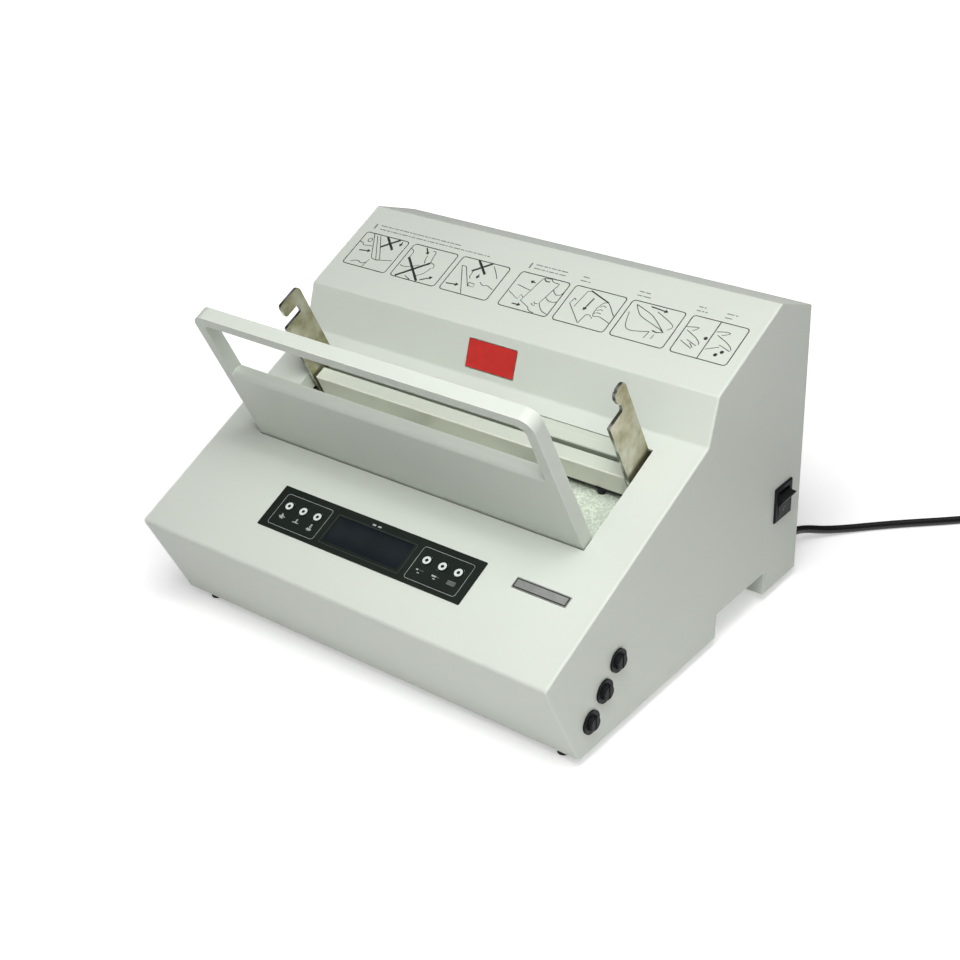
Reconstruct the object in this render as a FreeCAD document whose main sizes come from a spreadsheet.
import FreeCAD, Part
import math
import os
import types
import Sketcher

# Metal spine binding machine: a sloping desk housing with a document lid, a clamping jaw
# driven by two lead screws, two lifting hook plates, a keypad, a power switch and fuses.
# Millimetres and degrees. Two frames are used. The machine frame has its origin on the
# housing's lower front edge. The deck frame sits on the nose of the housing, with Y up the
# sloping deck and Z square to it, so what lies on or under the deck is drawn square.

SIZES = {
    # housing
    "body_width": 420.0,
    "sheet": 1.5,
    "deck_angle": 25.0,
    "front_length": 94.4,
    "deck_length": 235.6,
    "wall_angle": 71.0,
    "wall_length": 40.7,
    "slope_length": 102.0,
    "crown_length": 52.3,
    "crown_fall": 20.0,
    "bend_radius": 3.0,
    "edge_round": 1.2,
    "louvre_place": 40.0,
    "louvre_length": 64.0,
    "louvre_height": 3.0,
    "louvre_low": 150.0,
    "louvre_rise": 56.0,
    # opening in the deck
    "deck_border": 40.7,
    "opening_front": 116.6,
    "opening_length": 103.1,
    "lip_depth": 14.0,
    # grip recess in each lower side edge
    "grip_front": 194.0,
    "grip_length": 78.5,
    "grip_height": 22.0,
    "grip_depth": 38.0,
    "slit_width": 1.0,
    "slit_bottom": 9.4,
    # feet
    "foot_height": 9.0,
    "foot_radius": 6.0,
    "foot_inset": 22.0,
    "foot_setback": 11.0,
    # frame plates inside
    "frame_plate": 4.0,
    "frame_inset": 22.0,
    "frame_front": 74.0,
    "frame_rear": 262.0,
    "frame_shoulder": 35.0,
    "frame_chin": 10.0,
    "frame_lead": 10.0,
    "frame_flange": 12.0,
    "bed_plate": 3.0,
    "bed_front": 112.0,
    "apron_top": 12.0,
    "cross_plate": 8.0,
    "front_cross": 124.0,
    "cross_depth": 22.0,
    "rear_cross_depth": 36.0,
    # clamping jaws
    "jaw_end_gap": 8.3,
    "jaw_front": 188.2,
    "jaw_depth": 12.4,
    "jaw_gap": 3.9,
    "jaw_top": 1.0,
    "jaw_height": 24.0,
    "under_jaw": 8.0,
    "rear_jaw_depth": 9.0,
    "strip_depth": 5.8,
    "jaw_open": 40.0,
    "jaw_close": 3.0,
    "glide_radius": 4.0,
    "glide_inset": 30.0,
    "glide_gap": 0.3,
    "edge_bevel": 0.8,
    # drive
    "screw_drop": 53.0,
    "screw_radius": 6.0,
    "journal_radius": 5.0,
    "bearing_radius": 9.0,
    "running_gap": 0.05,
    "nut_width": 22.0,
    "nut_length": 18.0,
    "nut_height": 20.0,
    "neck_width": 14.0,
    "neck_set": 1.2,
    "neck_depth": 9.2,
    "gear_module": 2.0,
    "drive_teeth": 20.0,
    "screw_teeth": 40.0,
    "pressure_angle": 20.0,
    "gear_face": 10.0,
    "web_hole": 6.5,
    "web_place": 20.5,
    "gear_gap": 1.6,
    "backlash": 0.3,
    "gearbox_width": 68.0,
    "gearbox_length": 38.0,
    "spacer_radius": 4.0,
    "motor_radius": 27.0,
    "motor_length": 74.0,
    # lid that stands up as a document rest
    "lid_gap": 1.1,
    "lid_sheet": 1.2,
    "lid_set": 1.0,
    "lid_depth": 12.2,
    "lid_top": 145.2,
    "lid_below": 8.0,
    "lid_corner": 12.0,
    "window_low": 81.2,
    "window_high": 136.0,
    "window_margin": 8.8,
    "window_fall": 4.6,
    "window_corner": 7.0,
    "lip_round": 5.0,
    "hinge_drop": 4.5,
    "pin_radius": 2.0,
    "pin_head": 1.4,
    "pin_rim": 0.9,
    # hook plates
    "hook_plate": 3.0,
    "hook_side_gap": 2.8,
    "hook_front": 187.0,
    "hook_width": 31.0,
    "hook_shoulder": 60.5,
    "hook_slot": 8.0,
    "hook_top": 82.0,
    "hook_below": 80.0,
    "hook_round": 5.0,
    "slot_round": 1.5,
    "tongue_set": 4.8,
    "tongue_round": 3.0,
    "slot_wall": 9.5,
    "spring_rim": 1.0,
    "crossbar": 12.0,
    "guide_height": 20.0,
    "guide_wall": 4.0,
    "guide_gap": 0.2,
    "spring_radius": 4.0,
    "spring_top": 14.0,
    "tab_sheet": 2.0,
    # keypad
    "panel_width": 210.8,
    "panel_low": 37.2,
    "panel_length": 41.4,
    "panel_sheet": 0.8,
    "panel_corner": 0.8,
    "glass_gap": 18.7,
    "glass_low": 45.0,
    "glass_length": 25.2,
    "glass_inset": 0.3,
    "module_depth": 6.0,
    "key_radius": 4.9,
    "stem_radius": 1.6,
    "key_line": 61.7,
    "key_end": 16.8,
    "key_pitch": 15.6,
    "key_gap": 0.15,
    "key_height": 0.6,
    "key_travel": 0.5,
    "board_drop": 12.0,
    "board_sheet": 1.6,
    "button_height": 1.8,
    "button_half": 3.0,
    "keypad_margin": 4.0,
    "post_radius": 2.5,
    "pane_rim": 8.0,
    "pane_rim_low": 5.0,
    # control board and transformer on the base plate
    "board_inset": 24.0,
    "board_length": 120.0,
    "board_front": 62.0,
    "board_width": 90.0,
    "board_rise": 10.0,
    "post_inset": 6.0,
    "relay_length": 16.0,
    "relay_width": 20.0,
    "relay_height": 15.0,
    "relay_pitch": 22.0,
    "capacitor_radius": 9.0,
    "capacitor_height": 21.0,
    "fin_sheet": 2.0,
    "fin_pitch": 6.0,
    "fin_length": 32.0,
    "fin_height": 19.0,
    "core_inset": 36.0,
    "core_stack": 40.0,
    "core_front": 66.0,
    "core_length": 76.0,
    "core_height": 63.5,
    "core_leg": 13.0,
    "core_window": 13.0,
    "winding_reach": 12.0,
    "winding_gap": 1.0,
    # power switch and fuses on the right side
    "switch_back": 298.0,
    "switch_height": 81.3,
    "switch_wide": 27.6,
    "switch_tall": 32.6,
    "switch_rim": 3.0,
    "switch_wall": 1.2,
    "switch_bezel": 2.0,
    "switch_body": 24.0,
    "well_depth": 12.0,
    "rocker_tilt": 18.0,
    "rocker_gap": 0.3,
    "rocker_end_gap": 1.9,
    "rocker_set": 1.8,
    "rocker_back": 5.0,
    "rocker_valley": 4.6,
    "rocker_reach": 8.5,
    "rocker_taper": 3.0,
    "trunnion_radius": 1.5,
    "fuse_lower_y": 14.8,
    "fuse_lower_z": 26.4,
    "fuse_pitch": 25.0,
    "fuse_line": 44.6,
    "fuse_flange": 9.8,
    "flange_height": 1.8,
    "fuse_body": 7.4,
    "fuse_body_length": 24.0,
    "fuse_cap": 6.4,
    "cap_height": 3.4,
    "cap_plug": 5.0,
    "coin_slot": 1.6,
    "plug_depth": 6.0,
    "fit_gap": 0.1,
    # cord
    "cord_radius": 3.75,
    "gland_inset": 23.0,
    "gland_z": 9.0,
    "gland_radius": 7.4,
    "gland_flange": 4.0,
    "boot_length": 20.0,
    "coil_radius": 56.0,
    "coil_turns": 5.5,
    "turn_pitch": 8.1,
    "layer_height": 8.0,
    "plug_radius": 19.0,
    "plug_height": 24.0,
    "plug_boot": 25.0,
}

DOCUMENT = FreeCAD.newDocument("spine_binding_machine")
SHEET_NAME = "Sizes"
PARTS = []
IDLE_CUTS = []


class Size:
    """A size that knows its value and the sheet expression that gives it."""

    def __init__(self, value, text):
        self.value = float(value)
        self.text = text

    def __add__(self, other):
        other = as_size(other)
        return Size(self.value + other.value, f"({self.text} + {other.text})")

    def __sub__(self, other):
        other = as_size(other)
        return Size(self.value - other.value, f"({self.text} - {other.text})")

    def __mul__(self, other):
        other = as_size(other)
        return Size(self.value * other.value, f"({self.text} * {other.text})")

    def __truediv__(self, other):
        other = as_size(other)
        return Size(self.value / other.value, f"({self.text} / {other.text})")

    def __neg__(self):
        return Size(-self.value, f"(-{self.text})")

    __radd__ = __add__
    __rmul__ = __mul__

    def __rsub__(self, other):
        return as_size(other) - self

    def __rtruediv__(self, other):
        return as_size(other) / self


def as_size(number):
    return number if isinstance(number, Size) else Size(number, f"{float(number):.6f}")


def sine(angle):
    return Size(math.sin(math.radians(angle.value)), f"sin({angle.text} * 1 deg)")


def cosine(angle):
    return Size(math.cos(math.radians(angle.value)), f"cos({angle.text} * 1 deg)")


def square_root(number):
    return Size(math.sqrt(number.value), f"sqrt({number.text})")


def fill_sheet():
    """Write the driving sizes in the sheet and hand them back by name."""
    sheet = DOCUMENT.addObject("Spreadsheet::Sheet", SHEET_NAME)
    for row, (name, value) in enumerate(SIZES.items(), start=1):
        sheet.set(f"A{row}", name)
        sheet.set(f"B{row}", str(value))
        sheet.setAlias(f"B{row}", name)
    DOCUMENT.recompute()
    return types.SimpleNamespace(
        **{name: Size(value, f"{SHEET_NAME}.{name}") for name, value in SIZES.items()}
    )


d = fill_sheet()

# Housing profile in the machine frame, as Y and Z of each bend


def step(start, length, angle):
    """The point a length away from start, in the direction of angle."""
    return (start[0] + length * cosine(angle), start[1] + length * sine(angle))


TOE = (as_size(0.0), as_size(0.0))
NOSE = step(TOE, d.front_length, d.deck_angle + 90.0)
DECK_TOP = step(NOSE, d.deck_length, d.deck_angle)
WALL_TOP = step(DECK_TOP, d.wall_length, d.wall_angle)
RIDGE = step(WALL_TOP, d.slope_length, d.deck_angle)
CROWN = step(RIDGE, d.crown_length, -d.crown_fall)
HEEL = (CROWN[0], as_size(0.0))
BENDS = [NOSE, DECK_TOP, WALL_TOP, RIDGE]


def on_deck(point):
    """Deck-frame Y and Z of a machine point."""
    turn = d.deck_angle
    back, up = point[0] - NOSE[0], point[1] - NOSE[1]
    return (back * cosine(turn) + up * sine(turn), up * cosine(turn) - back * sine(turn))


# Places shared by several pieces

OUTER_WIDTH = d.body_width / 2
INNER_WIDTH = OUTER_WIDTH - d.sheet
FRAME_OUTER = OUTER_WIDTH - d.frame_inset
FRAME_INNER = FRAME_OUTER - d.frame_plate
OPENING_SIDE = OUTER_WIDTH - d.deck_border
OPENING_REAR = d.opening_front + d.opening_length
JAW_SIDE = OPENING_SIDE - d.jaw_end_gap
JAW_REAR = d.jaw_front + d.jaw_depth
REAR_JAW_FRONT = JAW_REAR + d.jaw_gap
REAR_JAW_REAR = REAR_JAW_FRONT + d.rear_jaw_depth
REAR_CROSS = REAR_JAW_REAR + d.strip_depth
JAW_BOTTOM = -(d.jaw_top + d.jaw_height)
BED_TOP = JAW_BOTTOM - d.under_jaw
BED_BOTTOM = BED_TOP - d.bed_plate
SCREW_PLACE = d.gear_module * (d.drive_teeth + d.screw_teeth) / 2
GEAR_FRONT = REAR_CROSS + d.cross_plate + d.gear_gap
GEAR_REAR = GEAR_FRONT + d.gear_face
GEARBOX_FRONT = GEAR_REAR + d.gear_gap
GEARBOX_REAR = GEARBOX_FRONT + d.gearbox_length
LID_SIDE = OPENING_SIDE - d.lid_gap
LID_FRONT = d.opening_front + d.lid_set
LID_REAR = LID_FRONT + d.lid_depth
HINGE = (LID_FRONT + d.lid_depth / 2, -d.hinge_drop)
HOOK_OUTER = OPENING_SIDE - d.hook_side_gap
HOOK_INNER = HOOK_OUTER - d.hook_plate
HOOK_REAR = d.hook_front + d.hook_width
HOOK_MIDDLE = d.hook_front + d.hook_width / 2
SPRING_PLACE = (HOOK_OUTER + FRAME_INNER) / 2
PANEL_HIGH = d.panel_low + d.panel_length
PANEL_SIDE = d.panel_width / 2
INNER_KEY = PANEL_SIDE - d.key_end - d.key_pitch * 2
GLASS_SIDE = INNER_KEY - d.glass_gap
GLASS = (-GLASS_SIDE, d.glass_low, GLASS_SIDE, d.glass_low + d.glass_length)
GRIP_REAR = d.grip_front + d.grip_length
GRIP_WALL = GRIP_REAR + d.sheet
GRIP_INSIDE = INNER_WIDTH - d.grip_depth
GLAND_PLACE = OUTER_WIDTH - d.gland_inset

MACHINE = "machine"
DECK = "deck"
SIDES = {"left": -1.0, "right": 1.0}


def frame_origin(frame):
    """The frame's origin, measured from the middle of the footprint, on the floor.

    The rocker is what stands out furthest on the right side.
    """
    middle = (NOSE[0] + HEEL[0]) / 2
    if frame == MACHINE:
        return (-d.rocker_reach / 2, -middle, d.foot_height)
    return (-d.rocker_reach / 2, NOSE[0] - middle, NOSE[1] + d.foot_height)


def settle(piece, frame, at=(0.0, 0.0, 0.0)):
    """Put a piece in its frame, with its own origin at the point given there."""
    x, y, z = (as_size(value) for value in at)
    origin = frame_origin(frame)
    rotation = FreeCAD.Rotation()
    if frame == DECK:
        turn = d.deck_angle
        y, z = y * cosine(turn) - z * sine(turn), y * sine(turn) + z * cosine(turn)
        rotation = FreeCAD.Rotation(FreeCAD.Vector(1, 0, 0), turn.value)
    place = [origin[0] + x, origin[1] + y, origin[2] + z]
    piece.Placement = FreeCAD.Placement(FreeCAD.Vector(*[p.value for p in place]), rotation)
    for axis, value in zip("xyz", place):
        piece.setExpression(f"Placement.Base.{axis}", value.text)
    if frame == DECK:
        piece.setExpression("Placement.Rotation.Angle", f"{d.deck_angle.text} * 1 deg")
    PARTS.append(piece)
    return piece


def span(side, inner, outer):
    """Low and high X of something that lies between two distances from the middle."""
    return (inner, outer) if SIDES[side] > 0 else (-outer, -inner)


# Outlines for sketches


def ring(*points):
    return ("ring", [(as_size(x), as_size(y)) for x, y in points])


def box(x_low, y_low, x_high, y_high):
    return ring((x_low, y_low), (x_high, y_low), (x_high, y_high), (x_low, y_high))


def square(x, y, half):
    return box(x - half, y - half, x + half, y + half)


def disc(x, y, radius):
    return ("disc", as_size(x), as_size(y), as_size(radius))


def soft_box(x_low, y_low, x_high, y_high, radius):
    """A rectangle with rounded corners."""
    return ("soft", *(as_size(v) for v in (x_low, y_low, x_high, y_high, radius)))


def bent_ring(*points):
    """A closed outline in which a third number in a point rounds that corner."""
    return ("bent", [tuple(as_size(value) for value in point) for point in points])


def pin_down(sketch, geometry, end, point):
    """Tie one end of a sketch line to a point given by two sizes."""
    for kind, value in zip(("DistanceX", "DistanceY"), point):
        rule = Sketcher.Constraint(kind, -1, 1, geometry, end, value.value)
        number = sketch.addConstraint(rule)
        sketch.setExpression(f"Constraints[{number}]", value.text)


def set_radius(sketch, geometry, radius):
    number = sketch.addConstraint(Sketcher.Constraint("Radius", geometry, radius.value))
    sketch.setExpression(f"Constraints[{number}]", radius.text)


def flat(point):
    return FreeCAD.Vector(point[0].value, point[1].value, 0)


def draw_ring(sketch, points):
    first = sketch.GeometryCount
    count = len(points)
    for number, point in enumerate(points):
        following = points[(number + 1) % count]
        sketch.addGeometry(Part.LineSegment(flat(point), flat(following)), False)
    for number, point in enumerate(points):
        after = first + (number + 1) % count
        sketch.addConstraint(Sketcher.Constraint("Coincident", first + number, 2, after, 1))
        pin_down(sketch, first + number, 1, point)


def draw_disc(sketch, x, y, radius):
    circle = Part.Circle(flat((x, y)), FreeCAD.Vector(0, 0, 1), radius.value)
    number = sketch.addGeometry(circle, False)
    pin_down(sketch, number, 3, (x, y))
    set_radius(sketch, number, radius)


def draw_soft_box(sketch, x_low, y_low, x_high, y_high, radius):
    left, right, low, high = x_low + radius, x_high - radius, y_low + radius, y_high - radius
    corners = [
        ((right, y_low), (x_high, low), (right, low)),
        ((x_high, high), (right, y_high), (right, high)),
        ((left, y_high), (x_low, high), (left, high)),
        ((x_low, low), (left, y_low), (left, low)),
    ]
    arcs = []
    for number, (start, end, centre) in enumerate(corners):
        circle = Part.Circle(flat(centre), FreeCAD.Vector(0, 0, 1), radius.value)
        turn = math.radians(-90 + 90 * number)
        arcs.append(sketch.addGeometry(Part.ArcOfCircle(circle, turn, turn + math.pi / 2), False))
        pin_down(sketch, arcs[-1], 1, start)
        pin_down(sketch, arcs[-1], 2, end)
        set_radius(sketch, arcs[-1], radius)
    for number in range(4):
        start, end = corners[number][1], corners[(number + 1) % 4][0]
        line = sketch.addGeometry(Part.LineSegment(flat(start), flat(end)), False)
        following = arcs[(number + 1) % 4]
        sketch.addConstraint(Sketcher.Constraint("Coincident", arcs[number], 2, line, 1))
        sketch.addConstraint(Sketcher.Constraint("Coincident", line, 2, following, 1))


def heading(start, end):
    """The direction from one point to another."""
    across, up = end[0] - start[0], end[1] - start[1]
    length = square_root(across * across + up * up)
    return (across / length, up / length)


def round_corner(before, corner, after):
    """Where the arc at a corner starts and ends, and its centre."""
    radius = corner[2]
    into, out = heading(before, corner), heading(corner, after)
    along = into[0] * out[0] + into[1] * out[1]
    reach = radius * square_root((1.0 - along) / (1.0 + along))
    start = (corner[0] - into[0] * reach, corner[1] - into[1] * reach)
    end = (corner[0] + out[0] * reach, corner[1] + out[1] * reach)
    left_turn = into[0].value * out[1].value > into[1].value * out[0].value
    side = radius if left_turn else -radius
    centre = (start[0] - into[1] * side, start[1] + into[0] * side)
    return start, end, centre, left_turn


def arc_between(start, end, centre, radius, left_turn):
    """An arc drawn the short way, and which of its ends lies at start."""
    angles = [
        math.atan2(p[1].value - centre[1].value, p[0].value - centre[0].value) for p in (start, end)
    ]
    first, last = angles if left_turn else reversed(angles)
    circle = Part.Circle(flat(centre), FreeCAD.Vector(0, 0, 1), radius.value)
    return Part.ArcOfCircle(circle, first, last if last > first else last + 2 * math.pi)


def draw_bent_ring(sketch, points):
    corners = []
    for number, point in enumerate(points):
        if len(point) == 2:
            corners.append((point, point))
            continue
        after = points[(number + 1) % len(points)]
        start, end, centre, left_turn = round_corner(points[number - 1], point, after)
        arc = sketch.addGeometry(arc_between(start, end, centre, point[2], left_turn), False)
        pin_down(sketch, arc, 1 if left_turn else 2, start)
        pin_down(sketch, arc, 2 if left_turn else 1, end)
        set_radius(sketch, arc, point[2])
        corners.append((start, end))
    for number, (_, start) in enumerate(corners):
        end = corners[(number + 1) % len(corners)][0]
        line = sketch.addGeometry(Part.LineSegment(flat(start), flat(end)), False)
        pin_down(sketch, line, 1, start)
        pin_down(sketch, line, 2, end)


DRAWERS = {"ring": draw_ring, "bent": draw_bent_ring, "disc": draw_disc, "soft": draw_soft_box}
PLANES = {"side": "YZ_Plane", "front": "XZ_Plane", "top": "XY_Plane"}


def touched(shapes, word, points):
    """Names of the edges or faces that pass through the points, in body coordinates."""
    names = []
    for point in points:
        place = [as_size(value).value for value in point]
        spot = Part.Vertex(*place)
        near = [
            f"{word}{number}"
            for number, shape in enumerate(shapes, start=1)
            if shape.distToShape(spot)[0] < 1e-4
        ]
        if len(near) != 1:
            raise ValueError(f"{len(near)} of {word} pass through {place}")
        names += near
    return names


class Piece:
    """One body. Its pads and pockets run between two places along a main axis."""

    def __init__(self, label, frame, at=(0.0, 0.0, 0.0)):
        self.label = label
        self.body = DOCUMENT.addObject("PartDesign::Body", label)
        self.body.Label = label
        self.count = 0
        settle(self.body, frame, at)

    def name(self, kind):
        self.count += 1
        return f"{self.label}_{kind}_{self.count}"

    def plane(self, role):
        return [o for o in self.body.Origin.OriginFeatures if o.Role == role][0]

    def sketch(self, plane, at, outlines):
        """Draw outlines on an origin plane moved to the place at along its axis."""
        made = self.body.newObject("Sketcher::SketchObject", self.name("sketch"))
        made.AttachmentSupport = [(self.plane(PLANES[plane]), "")]
        made.MapMode = "FlatFace"
        shift = -as_size(at) if plane == "front" else as_size(at)
        made.AttachmentOffset.Base.z = shift.value
        made.setExpression("AttachmentOffset.Base.z", shift.text)
        for kind, *values in outlines:
            DRAWERS[kind](made, *values)
        return made

    def extrude(self, kind, plane, low, high, outlines):
        low, high = as_size(low), as_size(high)
        drawn = self.sketch(plane, low, outlines)
        made = self.body.newObject(f"PartDesign::{kind}", self.name(kind.lower()))
        made.Profile = drawn
        made.Length = (high - low).value
        made.setExpression("Length", (high - low).text)
        made.Reversed = (plane == "front") == (kind == "Pad")
        return made

    def add(self, plane, low, high, *outlines):
        return self.extrude("Pad", plane, low, high, outlines)

    def cut(self, plane, low, high, *outlines):
        DOCUMENT.recompute()
        before = self.body.Shape.Volume
        made = self.extrude("Pocket", plane, low, high, outlines)
        DOCUMENT.recompute()
        if self.body.Shape.Volume > before - 1e-3:
            IDLE_CUTS.append(made.Name)
        return made

    def dress(self, kind, prop, size, points):
        """A fillet or chamfer on the edges that pass through the given points."""
        DOCUMENT.recompute()
        size = as_size(size)
        base = self.body.Tip
        made = self.body.newObject(f"PartDesign::{kind}", self.name(kind.lower()))
        made.Base = (base, touched(base.Shape.Edges, "Edge", points))
        setattr(made, prop, size.value)
        made.setExpression(prop, size.text)
        return made

    def fillet(self, radius, *points):
        return self.dress("Fillet", "Radius", radius, points)

    def chamfer(self, size, *points):
        return self.dress("Chamfer", "Size", size, points)

    def hollow(self, wall, *points):
        """Leave a wall of sheet and open the faces that pass through the points."""
        DOCUMENT.recompute()
        base = self.body.Tip
        made = self.body.newObject("PartDesign::Thickness", self.name("sheet"))
        made.Base = (base, touched(base.Shape.Faces, "Face", points))
        made.Value = wall.value
        made.setExpression("Value", wall.text)
        made.Reversed = True
        return made

    def finish_pattern(self, made):
        self.body.Tip = made
        DOCUMENT.recompute()
        return made

    def mirror(self, *features):
        """Repeat features on the other side of the body's middle plane."""
        made = self.body.newObject("PartDesign::Mirrored", self.name("mirror"))
        made.Originals = list(features)
        made.MirrorPlane = (self.plane("YZ_Plane"), [""])
        return self.finish_pattern(made)

    def around(self, feature, count):
        """Repeat a feature evenly round the normal of its own sketch."""
        made = self.body.newObject("PartDesign::PolarPattern", self.name("turn"))
        made.Originals = [feature]
        made.Axis = (feature.Profile[0], ["N_Axis"])
        made.Angle = 360
        made.Occurrences = int(count.value)
        made.setExpression("Occurrences", count.text)
        return self.finish_pattern(made)

    def row(self, feature, direction, length, count):
        """Repeat a feature in a row along an axis of its own sketch."""
        made = self.body.newObject("PartDesign::LinearPattern", self.name("row"))
        made.Originals = [feature]
        made.Direction = (feature.Profile[0], [direction])
        made.Length = as_size(length).value
        made.setExpression("Length", as_size(length).text)
        made.Occurrences = count
        return self.finish_pattern(made)


# Housing


def make_top_cover():
    """Front, deck, wall, upper slope and crown, folded from one sheet."""
    cover = Piece("top_cover", DECK)
    outline = [on_deck(p) for p in (TOE, NOSE, DECK_TOP, WALL_TOP, RIDGE, CROWN, HEEL)]
    cover.add("side", -INNER_WIDTH, INNER_WIDTH, ring(*outline))
    cover.fillet(d.bend_radius, *[(0.0, *on_deck(p)) for p in BENDS])
    bottom = on_deck((HEEL[0] / 2, as_size(0.0)))
    back = on_deck((HEEL[0], CROWN[1] / 2))
    middle = on_deck((HEEL[0] / 2, NOSE[1] / 2))
    ends = [(x, *middle) for x in (-INNER_WIDTH, INNER_WIDTH)]
    cover.hollow(d.sheet, (0.0, *bottom), (0.0, *back), *ends)
    through = (-2 * d.sheet, d.sheet)
    cover.cut("top", *through, box(-OPENING_SIDE, d.opening_front, OPENING_SIDE, OPENING_REAR))
    cover.cut("top", *through, box(*GLASS))
    stem_hole = 2 * d.stem_radius
    cover.cut("top", *through, *[disc(x, d.key_line, stem_hole) for x in key_places()])
    add_opening_lips(cover)
    return cover


def add_opening_lips(cover):
    """Turn the side edges of the deck's opening down, and bore them for the lid's pins."""
    outer = OPENING_SIDE + d.sheet
    lip = box(OPENING_SIDE, d.opening_front, outer, REAR_CROSS)
    cover.mirror(cover.add("top", -(d.sheet + d.lip_depth), -d.sheet, lip))
    cover.cut("side", -2 * outer, 2 * outer, disc(*HINGE, d.pin_radius + d.running_gap))


def key_places():
    """X of the six keys, three each side of the display."""
    right = [INNER_KEY + d.key_pitch * float(number) for number in range(3)]
    return [-x for x in reversed(right)] + right


def make_side_panel(side):
    """A flat cheek with the housing's outline and the grip recess in its lower edge."""
    panel = Piece(f"{side}_side_panel", MACHINE)
    low, high = span(side, INNER_WIDTH, OUTER_WIDTH)
    relief_rear = GRIP_WALL + d.slit_width
    recess = [
        (relief_rear, 0.0),
        (relief_rear, d.grip_height),
        (d.grip_front + d.sheet, d.grip_height),
        (d.grip_front, 0.0),
    ]
    profile = [TOE, NOSE, DECK_TOP, WALL_TOP, RIDGE, CROWN, HEEL]
    panel.add("side", low, high, ring(*profile, *recess))
    panel.fillet(d.bend_radius, *[((low + high) / 2, *p) for p in BENDS])
    outer_face = OUTER_WIDTH * SIDES[side]
    deck_middle = ((NOSE[0] + DECK_TOP[0]) / 2, (NOSE[1] + DECK_TOP[1]) / 2)
    panel.fillet(d.edge_round, (outer_face, *deck_middle))
    if side == "right":
        holes = [disc(*place, d.fuse_body + d.fit_gap) for place in fuse_places()]
        panel.cut("side", low, high, *holes)
        panel.cut("side", low, high, box(*switch_edges(d.switch_rim)))
    return panel


def fuse_places():
    """Y and Z of the three fuse holders, in a line that rises to the rear."""
    lowest = (d.fuse_lower_y, d.fuse_lower_z)
    return [step(lowest, d.fuse_pitch * float(number), d.fuse_line) for number in range(3)]


def switch_edges(inset):
    """Low and high Y and Z of the power switch, drawn in by inset."""
    wide, tall = d.switch_wide / 2 - inset, d.switch_tall / 2 - inset
    y, z = d.switch_back, d.switch_height
    return (y - wide, z - tall, y + wide, z + tall)


def make_rear_panel():
    """The back wall, with louvres, an inward flange at the foot and the cord's hole."""
    panel = Piece("rear_panel", MACHINE)
    inner, outer = HEEL[0] - d.sheet, HEEL[0]
    top = CROWN[1] - d.sheet / cosine(d.crown_fall)
    panel.add("front", inner, outer, box(-INNER_WIDTH, 0.0, INNER_WIDTH, top))
    flange = box(-INNER_WIDTH, inner - 8 * d.sheet, INNER_WIDTH, inner)
    panel.add("top", d.sheet, 2 * d.sheet, flange)
    panel.cut("front", inner, outer, disc(GLAND_PLACE, d.gland_z, d.gland_radius - d.sheet))
    add_louvres(panel, inner, outer)
    return panel


def add_louvres(panel, inner, outer):
    count = 8
    end = d.louvre_height / 2 - d.fit_gap
    for side in SIDES:
        low, high = span(side, d.louvre_place, d.louvre_place + d.louvre_length)
        slot = soft_box(low, d.louvre_low, high, d.louvre_low + d.louvre_height, end)
        panel.row(panel.cut("front", inner, outer, slot), "V_Axis", d.louvre_rise, count)


def make_base_plate():
    """The floor of the housing, folded up round the two grip recesses."""
    base = Piece("base_plate", MACHINE)
    front = d.sheet / cosine(d.deck_angle)
    base.add("top", 0.0, d.sheet, box(-INNER_WIDTH, front, INNER_WIDTH, HEEL[0] - d.sheet))
    tub = box(GRIP_INSIDE - d.sheet, d.grip_front - d.sheet, INNER_WIDTH, GRIP_WALL)
    base.mirror(base.add("top", d.sheet, d.grip_height, tub))
    hand = box(GRIP_INSIDE, d.grip_front, INNER_WIDTH, GRIP_REAR)
    base.mirror(base.cut("top", 0.0, d.grip_height - d.sheet, hand))
    base.mirror(base.add("side", INNER_WIDTH, OUTER_WIDTH, wall_end()))
    return base


def wall_end():
    """The edge of a recess's rear wall that shows beside the relief slit."""
    rear = GRIP_WALL + d.slit_width
    return ring(
        (GRIP_REAR, d.grip_height),
        (GRIP_WALL, d.grip_height),
        (GRIP_WALL, d.slit_bottom),
        (rear, d.slit_bottom),
        (rear, 0.0),
        (GRIP_REAR, 0.0),
    )


def make_feet():
    """Four tapered rubber feet, one near each corner."""
    x = OUTER_WIDTH - d.foot_inset
    for end, y in (("front", d.foot_setback), ("rear", HEEL[0] - d.foot_setback)):
        for side, sign in SIDES.items():
            foot = DOCUMENT.addObject("Part::Cone", f"{end}_{side}_foot")
            foot.Label = f"{end}_{side}_foot"
            foot.setExpression("Radius1", (d.foot_radius - 1.0).text)
            foot.setExpression("Radius2", d.foot_radius.text)
            foot.setExpression("Height", d.foot_height.text)
            settle(foot, MACHINE, (x * sign, y, -d.foot_height))


# Frame inside the housing


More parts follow.
